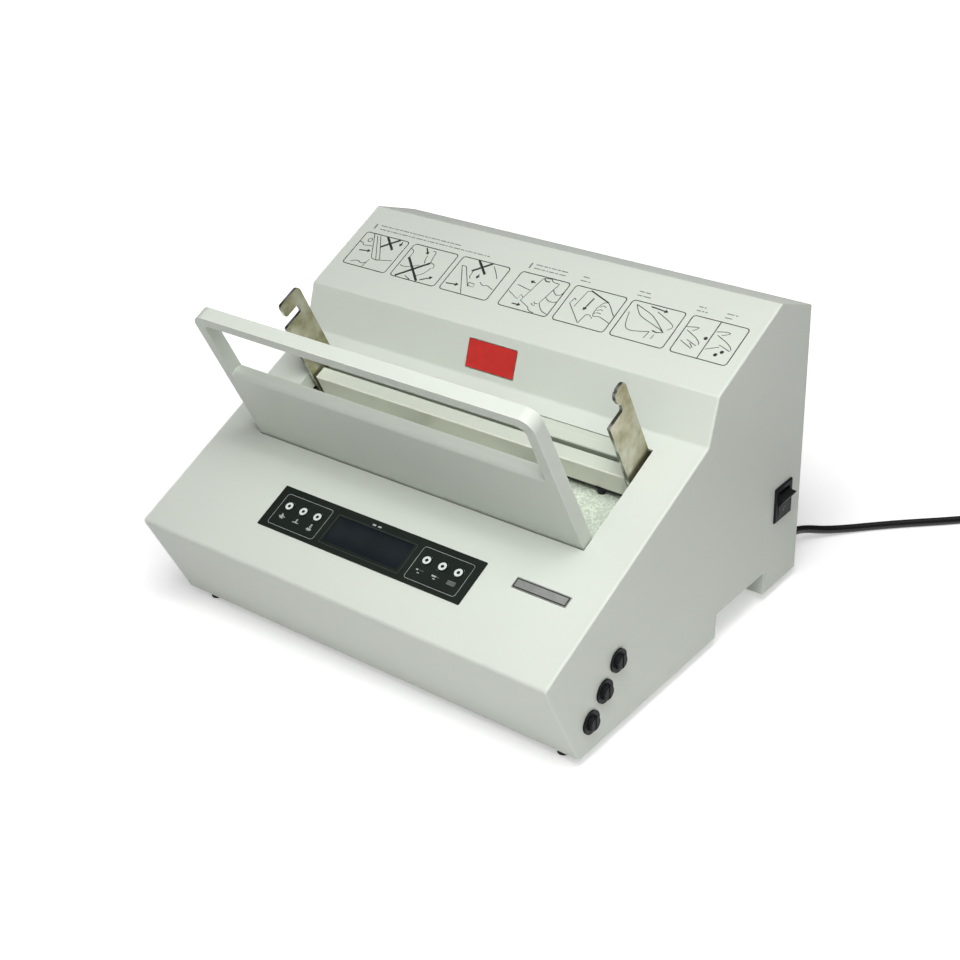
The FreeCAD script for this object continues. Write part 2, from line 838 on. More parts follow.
def make_side_frame(side):
    """A thick plate from the base up to the deck that carries the jaws and screws."""
    frame = Piece(f"{side}_side_frame", DECK)
    low, high = span(side, FRAME_INNER, FRAME_OUTER)
    front_foot, rear_foot = (on_deck((y, d.sheet)) for y in (d.frame_front, d.frame_rear))
    shoulder = on_deck((d.frame_rear, NOSE[1] + d.frame_shoulder))
    top_rear = REAR_CROSS + d.cross_plate
    top_front = d.bed_front - d.frame_lead
    chin = on_deck((d.frame_front, NOSE[1] + d.frame_chin))
    deck_under = -d.sheet
    outline = [front_foot, rear_foot, shoulder, (top_rear, deck_under), (top_front, deck_under)]
    frame.add("side", low, high, ring(*outline, chin))
    gap = d.sheet + d.fit_gap
    front, rear, top = d.grip_front - gap, GRIP_REAR + gap, d.grip_height + d.fit_gap
    notch = [(front, -d.sheet), (rear, -d.sheet), (rear, top), (front, top)]
    frame.cut("side", low, high, ring(*[on_deck(as_pair(p)) for p in notch]))
    foot_low, foot_high = span(side, FRAME_INNER - d.frame_flange, FRAME_INNER)
    foot_top = 3 * d.sheet
    foot = [(d.frame_front, d.sheet), (front, d.sheet), (front, foot_top), (d.frame_front, foot_top)]
    frame.add("side", foot_low, foot_high, ring(*[on_deck(as_pair(p)) for p in foot]))
    tab_low, tab_high = span(side, OPENING_SIDE + 2 * d.sheet, FRAME_INNER)
    half = d.spring_radius + d.spring_rim
    tab = box(HOOK_MIDDLE - half, -d.spring_top, HOOK_MIDDLE + half, d.tab_sheet - d.spring_top)
    frame.add("side", tab_low, tab_high, tab)
    return frame


def as_pair(point):
    return (as_size(point[0]), as_size(point[1]))


def make_bed_plate():
    """The plate under the jaws, with an apron in front and slots for the nut necks."""
    bed = Piece("bed_plate", DECK)
    bed.add("top", BED_BOTTOM, BED_TOP, box(-FRAME_INNER, d.bed_front, FRAME_INNER, REAR_CROSS))
    apron = box(-OPENING_SIDE, d.bed_front, OPENING_SIDE, d.bed_front + d.bed_plate)
    bed.add("top", BED_TOP, -d.apron_top, apron)
    margin = d.bed_plate / 2
    hook_notch = box(
        HOOK_INNER - margin, d.hook_front - margin, FRAME_INNER - d.bed_plate, REAR_CROSS
    )
    bed.mirror(bed.cut("top", BED_BOTTOM, BED_TOP, hook_notch))
    half = d.neck_width / 2 + margin
    low = neck_edges()[0] - d.jaw_open - margin
    high = neck_edges()[1] + d.jaw_close + margin
    slot = box(SCREW_PLACE - half, low, SCREW_PLACE + half, high)
    bed.mirror(bed.cut("top", BED_BOTTOM, BED_TOP, slot))
    return bed


def neck_edges():
    """Front and rear of the necks that join the nuts to the front jaw."""
    front = d.jaw_front + d.neck_set
    return (front, front + d.neck_depth)


def make_cross_plate(label, front, bottom, top):
    """A plate across the machine that holds the screws' bearings."""
    plate = Piece(label, DECK)
    rear = front + d.cross_plate
    plate.add("front", front, rear, box(-FRAME_INNER, bottom, FRAME_INNER, top))
    seat = disc(SCREW_PLACE, -d.screw_drop, d.bearing_radius)
    plate.mirror(plate.cut("front", front, rear, seat))
    return plate


def make_cross_plates():
    bottom = -(d.screw_drop + d.cross_depth)
    make_cross_plate("front_cross_plate", d.front_cross, bottom, BED_BOTTOM)
    bottom = -(d.screw_drop + d.rear_cross_depth)
    rear = make_cross_plate("rear_cross_plate", REAR_CROSS, bottom, -d.sheet)
    shaft_hole = disc(0.0, -d.screw_drop, d.journal_radius + d.running_gap)
    rear.cut("front", REAR_CROSS, REAR_CROSS + d.cross_plate, shaft_hole)


def make_bearings():
    """Four plain bronze bushes that the screws' journals turn in."""
    bushes = Piece("screw_bearings", DECK)
    bushes.body.AllowCompound = True
    bore = d.journal_radius + d.running_gap
    for front in (d.front_cross, REAR_CROSS):
        for x in (-SCREW_PLACE, SCREW_PLACE):
            rings = (disc(x, -d.screw_drop, d.bearing_radius), disc(x, -d.screw_drop, bore))
            bushes.add("front", front, front + d.cross_plate, *rings)
    return bushes


# Clamping jaws


def make_rear_jaw():
    jaw = Piece("rear_jaw", DECK)
    jaw.add("top", BED_TOP, -d.jaw_top, box(-JAW_SIDE, REAR_JAW_FRONT, JAW_SIDE, REAR_JAW_REAR))
    jaw.chamfer(d.edge_bevel, (0.0, REAR_JAW_FRONT, -d.jaw_top))
    return jaw


def make_rear_strip():
    """A filler bar between the rear jaw and the rear edge of the deck's opening."""
    strip = Piece("rear_jaw_strip", DECK)
    top = -(d.jaw_top + d.edge_bevel / 2)
    strip.add("top", BED_TOP, top, box(-JAW_SIDE, REAR_JAW_REAR, JAW_SIDE, REAR_CROSS))
    return strip


def make_front_jaw():
    """The moving bar, bevelled along both top edges."""
    jaw = Piece("front_jaw", DECK)
    top = -d.jaw_top
    jaw.add("top", JAW_BOTTOM, top, box(-JAW_SIDE, d.jaw_front, JAW_SIDE, JAW_REAR))
    jaw.chamfer(d.edge_bevel, (0.0, d.jaw_front, top), (0.0, JAW_REAR, top))
    return jaw


def make_glides():
    """Two round plastic glides under the front jaw, a hair clear of the bed."""
    glides = Piece("jaw_glides", DECK)
    glides.body.AllowCompound = True
    x, y = JAW_SIDE - d.glide_inset, d.jaw_front + d.glide_radius / 2
    places = [disc(x * sign, y, d.glide_radius) for sign in SIDES.values()]
    glides.add("top", BED_TOP + d.glide_gap, JAW_BOTTOM, *places)
    return glides


def make_jaw_nut(side):
    """A bronze nut on the lead screw, with a neck up to the front jaw."""
    nut = Piece(f"{side}_jaw_nut", DECK)
    x = SCREW_PLACE * SIDES[side]
    front, rear = neck_edges()
    half, neck = d.nut_width / 2, d.neck_width / 2
    centre = (front + rear) / 2
    low, high = centre - d.nut_length / 2, centre + d.nut_length / 2
    top = -(d.screw_drop - d.nut_height / 2)
    bottom = -(d.screw_drop + d.nut_height / 2)
    nut.add("top", bottom, top, box(x - half, low, x + half, high))
    nut.add("top", top, JAW_BOTTOM, box(x - neck, front, x + neck, rear))
    nut.cut("front", low, high, disc(x, -d.screw_drop, d.screw_radius + d.running_gap))
    return nut


# Drive


def make_lead_screw(side):
    """A screw with a turned journal at each end, the rear one long enough for its gear."""
    screw = Piece(f"{side}_lead_screw", DECK, (SCREW_PLACE * SIDES[side], 0.0, -d.screw_drop))
    shoulder = d.front_cross + d.cross_plate
    screw.add("front", shoulder, REAR_CROSS, disc(0.0, 0.0, d.screw_radius))
    journal = disc(0.0, 0.0, d.journal_radius)
    screw.add("front", d.front_cross - d.bed_plate, shoulder, journal)
    screw.add("front", REAR_CROSS, GEAR_REAR, journal)
    return screw


# Proportions of a gear tooth, as shares of the module
TIP, SHOULDER, ROOT, TOOTH_FOOT = 0.95, 0.5, 1.25, 1.45


def flank_point(teeth, radius, turn):
    """A point of an involute tooth's flank at a radius, on the side that turn leads to."""
    pitch = d.gear_module * teeth / 2
    base = pitch * cosine(d.pressure_angle)
    degrees = 180.0 / math.pi
    contact = square_root(pitch * pitch - base * base) / base * degrees
    lean = contact - d.pressure_angle
    thickness = (90.0 / teeth) - d.backlash / 2 / pitch * degrees
    roll = square_root(radius * radius / (base * base) - 1.0)
    x = base * (sine(roll * degrees) - roll * cosine(roll * degrees))
    y = base * (cosine(roll * degrees) + roll * sine(roll * degrees))
    half = thickness + lean
    return turned(x, y, half, turn)


def turned(x, y, half, turn):
    """Both mirrored places of a flank point: left of the tooth's middle line, and right."""
    left = (x * cosine(half) - y * sine(half), x * sine(half) + y * cosine(half))
    places = []
    for side_x in (left[0], -left[0]):
        places.append(
            (
                side_x * cosine(turn) - left[1] * sine(turn),
                side_x * sine(turn) + left[1] * cosine(turn),
            )
        )
    return places


def tooth_outline(teeth, turn):
    """One involute tooth, turned from the top of the gear by an angle."""
    pitch = d.gear_module * teeth / 2
    base = pitch * cosine(d.pressure_angle)
    middle = (2 * base + 3 * pitch) / 5
    above = [pitch + d.gear_module * share for share in (SHOULDER, TIP)]
    heights = [base * 1.0001, middle, *above]
    flank = [flank_point(teeth, radius, turn) for radius in heights]
    root = pitch - d.gear_module * TOOTH_FOOT
    foot = []
    for x, y in flank[0]:
        foot.append((x * root / base, y * root / base))
    left = [foot[0]] + [pair[0] for pair in flank]
    right = [foot[1]] + [pair[1] for pair in flank]
    return ring(*left, *reversed(right))


def make_gear(label, x, teeth, turn):
    """A spur gear on a journal: one tooth, repeated round the rim."""
    gear = Piece(label, DECK, (x, 0.0, -d.screw_drop))
    root = d.gear_module * (teeth / 2 - ROOT)
    blank = (disc(0.0, 0.0, root), disc(0.0, 0.0, d.journal_radius))
    gear.add("front", GEAR_FRONT, GEAR_REAR, *blank)
    tooth = gear.add("front", GEAR_FRONT, GEAR_REAR, tooth_outline(teeth, turn))
    DOCUMENT.recompute()
    gear.around(tooth, teeth)
    return gear


def make_gears():
    """Two large gears on the screws, and the small drive gear between them."""
    web_holes = as_size(6)
    for side, sign in SIDES.items():
        gear = make_gear(f"{side}_screw_gear", SCREW_PLACE * sign, d.screw_teeth, as_size(0.0))
        hole = disc(0.0, d.web_place, d.web_hole)
        gear.around(gear.cut("front", GEAR_FRONT, GEAR_REAR, hole), web_holes)
    make_gear("drive_gear", as_size(0.0), d.drive_teeth, 180.0 / d.drive_teeth)


def make_output_shaft():
    shaft = Piece("output_shaft", DECK, (0.0, 0.0, -d.screw_drop))
    shaft.add("front", REAR_CROSS, GEARBOX_FRONT + d.cross_plate, disc(0.0, 0.0, d.journal_radius))
    return shaft


def make_gearbox():
    """The reduction gearbox, on two spacers between the screw gears."""
    case = Piece("gearbox", DECK, (0.0, 0.0, -d.screw_drop))
    half = d.gearbox_width / 2
    corner = d.spacer_radius * 1.5
    case.add("front", GEARBOX_FRONT, GEARBOX_REAR, soft_box(-half, -half, half, half, corner))
    bore = disc(0.0, 0.0, d.journal_radius + d.running_gap)
    case.cut("front", GEARBOX_FRONT, GEARBOX_FRONT + 1.2 * d.cross_plate, bore)
    reach = half - d.spacer_radius - 1.0
    spacers = [disc(0.0, height, d.spacer_radius) for height in (-reach, reach)]
    case.add("front", REAR_CROSS + d.cross_plate, GEARBOX_FRONT, *spacers)
    return case


def make_motor():
    motor = Piece("drive_motor", DECK, (0.0, 0.0, -d.screw_drop))
    rear = GEARBOX_REAR + d.motor_length
    motor.add("front", GEARBOX_REAR, rear, disc(0.0, 0.0, d.motor_radius))
    motor.chamfer(2.0, (0.0, rear, d.motor_radius))
    return motor


# Lid


def make_lid():
    """A folded tray, open at the back, with a long hand window near its top edge."""
    lid = Piece("document_lid", DECK)
    lid.add("front", LID_FRONT, LID_REAR, box(-LID_SIDE, -d.lid_below, LID_SIDE, d.lid_top))
    middle = LID_FRONT + d.lid_depth / 2
    lid.fillet(d.lid_corner, *[(x, middle, d.lid_top) for x in (-LID_SIDE, LID_SIDE)])
    lid.hollow(d.lid_sheet, (0.0, LID_REAR, d.lid_top / 2))
    add_hand_window(lid, LID_SIDE - d.window_margin, middle)
    lid.cut("side", -LID_SIDE, LID_SIDE, disc(*HINGE, d.pin_radius + d.running_gap))
    return lid


def add_hand_window(lid, half, middle):
    """Frame the window with sheet all round. Its lower edge is rolled back and falls."""
    wall = d.lid_sheet
    inner = LID_FRONT + wall
    low, high, fall = d.window_low, d.window_high, d.window_fall
    lip_foot = low - 3 * d.lip_round
    frame = bent_ring(
        (LID_FRONT + wall / 2, lip_foot),
        (inner, lip_foot),
        (inner, low - wall, d.lip_round - wall),
        (LID_REAR, low - wall - fall),
        (LID_REAR, high + wall),
        (LID_FRONT + wall / 2, high + wall),
    )
    lid.add("side", -(half + wall), half + wall, frame)
    crest = low + fall * wall / (LID_REAR - inner)
    gap = bent_ring(
        (LID_FRONT - wall, lip_foot),
        (LID_FRONT, lip_foot),
        (LID_FRONT, crest, d.lip_round),
        (LID_REAR, low - fall),
        (LID_REAR, high),
        (LID_FRONT - wall, high),
    )
    lid.cut("side", -half, half, gap)
    lid.fillet(d.window_corner, *[(x, middle, high) for x in (-half, half)])


def make_lid_pins():
    """A pin through each flange of the lid, with its head outside the lip of the deck."""
    pins = Piece("lid_pins", DECK)
    pins.body.AllowCompound = True
    inside = LID_SIDE - d.lid_sheet - 2 * d.fit_gap
    seat = OPENING_SIDE + d.sheet
    for side in SIDES:
        shank = span(side, inside, seat)
        head = span(side, seat, seat + d.pin_head)
        pins.add("side", *shank, disc(*HINGE, d.pin_radius))
        pins.add("side", *head, disc(*HINGE, d.pin_radius + d.pin_rim))
    return pins


# Hook plates


def left_hook_outline():
    """A plate whose top reaches forward as a tongue, over a slot that is open in front."""
    front, rear, shoulder = d.hook_front, HOOK_REAR, d.hook_shoulder
    slot_end, slot_top = rear - d.slot_wall, shoulder + d.hook_slot
    tongue = front + d.tongue_set
    return ring(
        (front, -d.hook_below),
        (rear, -d.hook_below),
        (rear, d.hook_top),
        (tongue, d.hook_top),
        (tongue, slot_top),
        (slot_end, slot_top),
        (slot_end, shoulder),
        (front, shoulder),
    )


def right_hook_outline():
    """A plate with a narrow bulging neck that ends in a blunt beak over its shoulder."""
    front, rear, shoulder = d.hook_front, HOOK_REAR, d.hook_shoulder
    top = d.hook_top
    return ring(
        (front, -d.hook_below),
        (rear, -d.hook_below),
        (rear, top),
        (rear - 10.6, top),
        (rear - 10.9, top - 1.7),
        (rear - 13.3, top - 1.3),
        (rear - 14.8, top - 3.1),
        (rear - 15.6, top - 6.8),
        (rear - 14.2, shoulder + 9.3),
        (rear - 11.1, shoulder + 5.6),
        (rear - 12.0, shoulder + 1.2),
        (rear - 13.3, shoulder),
        (front, shoulder),
    )


def make_hook_plate(side):
    plate = Piece(f"{side}_hook_plate", DECK)
    low, high = span(side, HOOK_INNER, HOOK_OUTER)
    middle = (low + high) / 2
    rear, top, shoulder = HOOK_REAR, d.hook_top, d.hook_shoulder
    if side == "left":
        plate.add("side", low, high, left_hook_outline())
        tongue, slot_top = d.hook_front + d.tongue_set, shoulder + d.hook_slot
        slot_end = rear - d.slot_wall
        plate.fillet(d.hook_round, (middle, rear, top))
        plate.fillet(d.tongue_round, (middle, tongue, top), (middle, tongue, slot_top))
        plate.fillet(d.slot_round, (middle, slot_end, slot_top), (middle, slot_end, shoulder))
        plate.fillet(d.slot_round, (middle, d.hook_front, shoulder))
    else:
        plate.add("side", low, high, right_hook_outline())
        plate.fillet(d.hook_round, (middle, rear, top))
        throat = (middle, rear - 11.1, shoulder + 5.6)
        plate.fillet(d.slot_round, throat, (middle, d.hook_front, shoulder))
    ear_low, ear_high = span(side, HOOK_OUTER, SPRING_PLACE + d.spring_radius)
    half = d.spring_radius + d.spring_rim
    low = d.hook_plate - d.hook_below
    ear = box(HOOK_MIDDLE - half, low, HOOK_MIDDLE + half, low + d.hook_plate)
    plate.add("side", ear_low, ear_high, ear)
    return plate


def make_crossbar():
    """The square bar that joins the two hook plates under the jaws."""
    bar = Piece("hook_crossbar", DECK)
    half = d.crossbar / 2
    low = d.tab_sheet - d.hook_below
    section = box(HOOK_MIDDLE - half, low, HOOK_MIDDLE + half, low + d.crossbar)
    bar.add("side", -HOOK_INNER, HOOK_INNER, section)
    return bar


def make_hook_guide(side):
    """A plastic guide on the side frame, with a slot that the hook plate slides in."""
    guide = Piece(f"{side}_hook_guide", DECK)
    top = BED_BOTTOM - 1.0
    low = top - d.guide_height
    x_low, x_high = span(side, HOOK_INNER - d.guide_wall, FRAME_INNER)
    guide.add("top", low, top, box(x_low, d.hook_front - d.guide_wall, x_high, REAR_CROSS))
    gap = d.guide_gap
    x_low, x_high = span(side, HOOK_INNER - gap, HOOK_OUTER + gap)
    slot = box(x_low, d.hook_front - gap, x_high, HOOK_REAR + gap)
    hole = disc(SPRING_PLACE * SIDES[side], HOOK_MIDDLE, d.spring_radius + 2 * gap)
    guide.cut("top", low, top, slot, hole)
    return guide


def make_hook_spring(side):
    """The tension spring that lifts the hook plates, drawn as its outer shape."""
    spring = Piece(f"{side}_hook_spring", DECK)
    low = 2 * d.hook_plate - d.hook_below
    coil = disc(SPRING_PLACE * SIDES[side], HOOK_MIDDLE, d.spring_radius)
    spring.add("top", low, -d.spring_top, coil)
    return spring


# Keypad and electronics


def make_keypad_panel():
    """The black overlay on the deck, open for the display and the six keys."""
    panel = Piece("keypad_panel", DECK)
    half = d.panel_width / 2
    outline = soft_box(-half, d.panel_low, half, PANEL_HIGH, d.panel_corner)
    panel.add("top", 0.0, d.panel_sheet, outline)
    panel.cut("top", 0.0, d.panel_sheet, box(*GLASS))
    holes = [disc(x, d.key_line, d.key_radius + d.key_gap) for x in key_places()]
    panel.cut("top", 0.0, d.panel_sheet, *holes)
    return panel


def make_display():
    """The display's pane in the panel, and its module under the deck."""
    module = Piece("display_module", DECK)
    module.add("top", -d.sheet, d.panel_sheet - d.glass_inset, box(*GLASS))
    x_low, y_low, x_high, y_high = GLASS
    wide, tall = d.pane_rim, d.pane_rim_low
    back = box(x_low - wide, y_low - tall, x_high + wide, y_high + tall)
    module.add("top", -(d.sheet + d.module_depth), -d.sheet, back)
    return module


def make_key(number, x):
    """A low round key on a stem that passes through the deck to its switch."""
    key = Piece(f"key_{number}", DECK)
    cap_low = d.key_travel + d.fit_gap
    key.add("top", cap_low, cap_low + d.key_height, disc(x, d.key_line, d.key_radius))
    stem_low = d.board_sheet + d.button_height + cap_low - d.board_drop
    key.add("top", stem_low, cap_low, disc(x, d.key_line, d.stem_radius))
    return key


def make_keypad_board():
    """The circuit board under the keypad, with one push switch under each key."""
    board = Piece("keypad_board", DECK)
    margin = d.keypad_margin
    half = d.panel_width / 2 - margin
    low, high = d.panel_low + margin / 2, PANEL_HIGH - margin / 2
    face = d.board_sheet - d.board_drop
    board.add("top", -d.board_drop, face, box(-half, low, half, high))
    buttons = [square(x, d.key_line, d.button_half) for x in key_places()]
    board.add("top", face, face + d.button_height, *buttons)
    across, up = half - margin, 2 * d.post_radius
    places = [(x, y) for x in (-across, across) for y in (low + up, high - up)]
    posts = [disc(x, y, d.post_radius) for x, y in places]
    board.add("top", face, -d.sheet, *posts)
    return board


def make_control_board():
    """The main circuit board on posts, with its relays, capacitor and heat sink."""
    board = Piece("control_board", MACHINE)
    rise = d.board_rise
    face = rise + d.board_sheet
    high = FRAME_INNER - d.board_inset
    low, front = high - d.board_length, d.board_front
    rear, inset = front + d.board_width, d.post_inset
    board.add("top", rise, face, box(low, front, high, rear))
    places = [(x, y) for x in (low + inset, high - inset) for y in (front + inset, rear - inset)]
    board.add("top", d.sheet, rise, *[disc(x, y, d.post_radius) for x, y in places])
    relay_front = front + 2 * inset
    relays, fins = [], []
    for number in range(3):
        left = low + 2 * inset + d.relay_pitch * float(number)
        relays.append(box(left, relay_front, left + d.relay_length, relay_front + d.relay_width))
    board.add("top", face, face + d.relay_height, *relays)
    capacitor = disc(high - 4 * inset, relay_front + d.relay_width / 2, d.capacitor_radius)
    board.add("top", face, face + d.capacitor_height, capacitor)
    fin_rear = rear - 2 * inset
    for number in range(8):
        left = low + 2 * inset + d.fin_pitch * float(number)
        fins.append(box(left, fin_rear - d.fin_length, left + d.fin_sheet, fin_rear))
    board.add("top", face, face + d.fin_height, *fins)
    return board


def make_transformer():
    """The mains transformer on the base plate: a laminated core round its winding."""
    core = Piece("power_transformer", MACHINE)
    low = d.core_inset - FRAME_INNER
    high = low + d.core_stack
    front, rear = d.core_front, d.core_front + d.core_length
    leg, width = d.core_leg, d.core_window
    bottom, top = d.sheet, d.sheet + d.core_height
    core.add("side", low, high, box(front, bottom, rear, top))
    edges = [(front + leg, front + leg + width), (rear - leg - width, rear - leg)]
    core.cut("side", low, high, *[box(a, bottom + leg, b, top - leg) for a, b in edges])
    reach, gap = d.winding_reach, d.winding_gap
    winding = box(front + leg + gap, bottom + leg + gap, rear - leg - gap, top - leg - gap)
    core.add("side", low - reach, high + reach, winding)
    return core


# Power switch and fuses


def make_switch():
    """The switch housing: a bezel on the side panel and a hollow body behind it."""
    switch = Piece("power_switch", MACHINE)
    front = OUTER_WIDTH + d.switch_bezel
    switch.add("side", OUTER_WIDTH, front, box(*switch_edges(as_size(0.0))))
    switch.add("side", OUTER_WIDTH - d.switch_body, OUTER_WIDTH, box(*switch_edges(d.switch_rim)))
    y_low, z_low, y_high, z_high = switch_edges(as_size(0.0))
    y, z = d.switch_back, d.switch_height
    edges = [(front, y_low, z), (front, y_high, z), (front, y, z_low), (front, y, z_high)]
    switch.chamfer(d.edge_bevel, *edges)
    well = box(*switch_edges(d.switch_rim + d.switch_wall))
    switch.cut("side", OUTER_WIDTH - d.well_depth, front, well)
    body_low, _, body_high, _ = switch_edges(d.switch_rim)
    pivot = disc(rocker_place()[0], rocker_place()[2], d.trunnion_radius + d.running_gap)
    switch.cut("front", body_low, body_high, pivot)
    return switch


def rocker_place():
    return (OUTER_WIDTH - d.rocker_set, d.switch_back, d.switch_height)


def make_rocker():
    """The rocker: two faces that meet in a shallow valley, tipped about its pin."""
    rocker = Piece("switch_rocker", MACHINE, rocker_place())
    half = d.switch_wide / 2 - d.switch_rim - d.switch_wall - d.rocker_gap
    tall = d.switch_tall / 2 - d.switch_rim - d.switch_wall - d.rocker_end_gap
    tilt = d.rocker_tilt
    crest = (d.rocker_reach + d.rocker_set - tall * sine(tilt)) / cosine(tilt)
    back, low_end = -d.rocker_back, tall - d.rocker_taper
    valley = (d.rocker_valley, as_size(0.0))
    level = [(back, low_end), (back, -low_end), (crest, -tall), valley, (crest, tall)]
    outline = []
    for x, z in level:
        outline.append((x * cosine(tilt) + z * sine(tilt), z * cosine(tilt) - x * sine(tilt)))
    rocker.add("front", -half, half, ring(*outline))
    reach = half + d.rocker_gap + d.switch_wall
    rocker.add("front", -reach, reach, disc(0.0, 0.0, d.trunnion_radius))
    return rocker


def make_fuse_holders():
    """Three panel fuse holders: a flange outside, a round body inside."""
    holders = Piece("fuse_holders", MACHINE)
    holders.body.AllowCompound = True
    places = fuse_places()
    front = OUTER_WIDTH + d.flange_height
    holders.add("side", OUTER_WIDTH, front, *[disc(*place, d.fuse_flange) for place in places])
    bodies = [disc(*place, d.fuse_body) for place in places]
    holders.add("side", OUTER_WIDTH - d.fuse_body_length, OUTER_WIDTH, *bodies)
    bores = [disc(*place, d.cap_plug + d.running_gap) for place in places]
    holders.cut("side", front - d.plug_depth - d.fit_gap, front, *bores)
    return holders


def make_fuse_cap(name, place):
    """A bayonet cap with a coin slot across its face."""
    cap = Piece(f"{name}_fuse_cap", MACHINE, (0.0, *place))
    seat = OUTER_WIDTH + d.flange_height
    low, top = seat + d.running_gap, seat + d.cap_height
    cap.add("side", low, top, disc(0.0, 0.0, d.fuse_cap))
    cap.add("side", seat - d.plug_depth, low, disc(0.0, 0.0, d.cap_plug))
    cap.chamfer(d.edge_bevel, (top, 0.0, d.fuse_cap))
    half = d.coin_slot / 2
    cap.cut("side", top - d.coin_slot, top, box(-half, -d.fuse_cap, half, d.fuse_cap))
    return cap


# Cord. It leaves the gland, drops to the floor and runs off to the right, where its spare
# length is wound up. Each step is how far across and back a point of the route lies from
# the gland's end, and its share of the gland's height above a cord that lies on the floor.

CORD_STEPS = [
    (0.0, 0.0, 1.0),
    (0.0, 15.0, 1.0),
    (4.2, 31.3, 0.69),
    (14.5, 47.3, 0.29),
    (28.5, 66.3, 0.06),
    (46.0, 86.0, 0.0),
    (69.2, 108.0, 0.0),
    (94.9, 130.3, 0.0),
    (119.35, 153.8, 0.0),
    (141.88, 173.6, 0.0),
]
COIL_TURN_STEP = 0.25


def sheet_value(name):
    return float(DOCUMENT.getObject(SHEET_NAME).get(name))


def cord_route():
    """The route's points, in the finished part's own frame."""
    origin = frame_origin(MACHINE)
    x = (origin[0] + GLAND_PLACE).value
    y = (origin[1] + HEEL[0] + d.gland_flange + d.boot_length).value
    lying = sheet_value("cord_radius")
    drop = (origin[2] + d.gland_z).value - lying
    return [
        FreeCAD.Vector(x + across, y + back, lying + drop * share)
        for across, back, share in CORD_STEPS
    ]


def coil_heading():
    """The direction of the cord's last run, in degrees from X."""
    before, last = cord_route()[-2:]
    return math.degrees(math.atan2(last.y - before.y, last.x - before.x))


def heading_vector(degrees):
    return FreeCAD.Vector(math.cos(math.radians(degrees)), math.sin(math.radians(degrees)), 0)


def bent_path(points):
    """Straight runs joined by tangent arcs, each as large as its two runs allow."""
    edges, radii = [], []
    start = points[0]
    for before, corner, after in zip(points, points[1:], points[2:]):
        into, out = corner - before, after - corner
        reach = 0.45 * min(into.Length, out.Length)
        half_turn = into.getAngle(out) / 2
        radii.append(reach / math.tan(half_turn))
        into.normalize()
        out.normalize()
        arc_start, arc_end = corner - into * reach, corner + out * reach
        edges.append(Part.LineSegment(start, arc_start).toShape())
        edges.append(leg_arc(arc_start, corner, arc_end))
        start = arc_end
    edges.append(Part.LineSegment(start, points[-1]).toShape())
    return edges, radii


def leg_arc(start, corner, end):
    """The arc from start to end whose tangents there meet at the corner."""
    chord_middle = (start + end) * 0.5
    inward = chord_middle - corner
    leg = (corner - start).Length
    half_turn = math.asin(min(1.0, inward.Length / leg))
    radius = leg / math.tan(half_turn)
    inward.normalize()
    crest = corner + inward * (radius / math.cos(half_turn) - radius)
    return Part.Arc(start, crest, end).toShape()


def coil_centre():
    """The coil lies to the right of the cord's last run, which meets it as a tangent."""
    heading = coil_heading()
    entry = cord_route()[-1] + heading_vector(heading) * 2 * sheet_value("cord_radius")
    return entry - heading_vector(heading + 90) * sheet_value("coil_radius")


def coil_point(turns):
    """A point of the coil: it spirals in, climbs a layer, and spirals out again."""
    middle = sheet_value("coil_turns") / 2
    inward = sheet_value("turn_pitch") * (middle - abs(turns - middle))
    climb = min(1.0, max(0.0, (turns - middle) * 2 + 0.5))
    smooth = climb * climb * (3 - 2 * climb)
    spoke = heading_vector(coil_heading() + 90 - 360 * turns)
    height = FreeCAD.Vector(0, 0, smooth * sheet_value("layer_height"))
    return coil_centre() + spoke * (sheet_value("coil_radius") - inward) + height


def coil_direction(turns):
    """The coil's direction at a point. At both ends it is level and square to the spoke."""
    if turns in (0, sheet_value("coil_turns")):
        return heading_vector(coil_heading() - 360 * turns)
    small = 1e-4
    direction = coil_point(turns + small) - coil_point(turns - small)
    direction.normalize()
    return direction


def biarc(start, start_way, end, end_way):
    """Two arcs that join two points and keep the direction given at each."""
    gap = end - start
    both = start_way + end_way
    bend = 2 * (1 - start_way.dot(end_way))
    along = gap.dot(both)
    leg = (-along + math.sqrt(along * along + bend * gap.dot(gap))) / bend
    first, second = start + start_way * leg, end - end_way * leg
    joint = (first + second) * 0.5
    return [leg_arc(start, first, joint), leg_arc(joint, second, end)]


def coil_path():
    """A straight end, quarter turns and a straight end."""
    turns = sheet_value("coil_turns")
    count = round(turns / COIL_TURN_STEP)
    stops = [turns * number / count for number in range(count + 1)]
    tail = 2 * sheet_value("cord_radius")
    first, last = coil_point(0), coil_point(turns)
    into, out = coil_direction(0), coil_direction(turns)
    edges = [Part.LineSegment(first - into * tail, first).toShape()]
    for low, high in zip(stops, stops[1:]):
        edges += biarc(
            coil_point(low), coil_direction(low), coil_point(high), coil_direction(high)
        )
    edges.append(Part.LineSegment(last, last + out * tail).toShape())
    return edges


def least_gap(edges):
    """The smallest free distance between turns of a tube, measured on points."""
    spacing = 2.0
    wire = Part.Wire(edges)
    points = wire.discretize(Number=int(wire.Length / spacing))
    apart = int(60.0 / spacing)
    least = min(
        first.distanceToPoint(second)
        for number, first in enumerate(points)
        for second in points[number + apart :]
    )
    return least - 2 * sheet_value("cord_radius")


def tube(edges):
    """A round tube of the cord's thickness along a path, checked by its volume."""
    wire = Part.Wire(edges)
    radius = sheet_value("cord_radius")
    start = wire.OrderedEdges[0]
    way = start.tangentAt(start.FirstParameter)
    section = Part.Wire([Part.makeCircle(radius, start.valueAt(start.FirstParameter), way)])
    solid = wire.makePipeShell([section], True, False)
    share = solid.Volume / (math.pi * radius * radius * wire.Length)
    print(f"tube {wire.Length:.1f} mm long, volume {share:.4f} of section times length")
    return solid


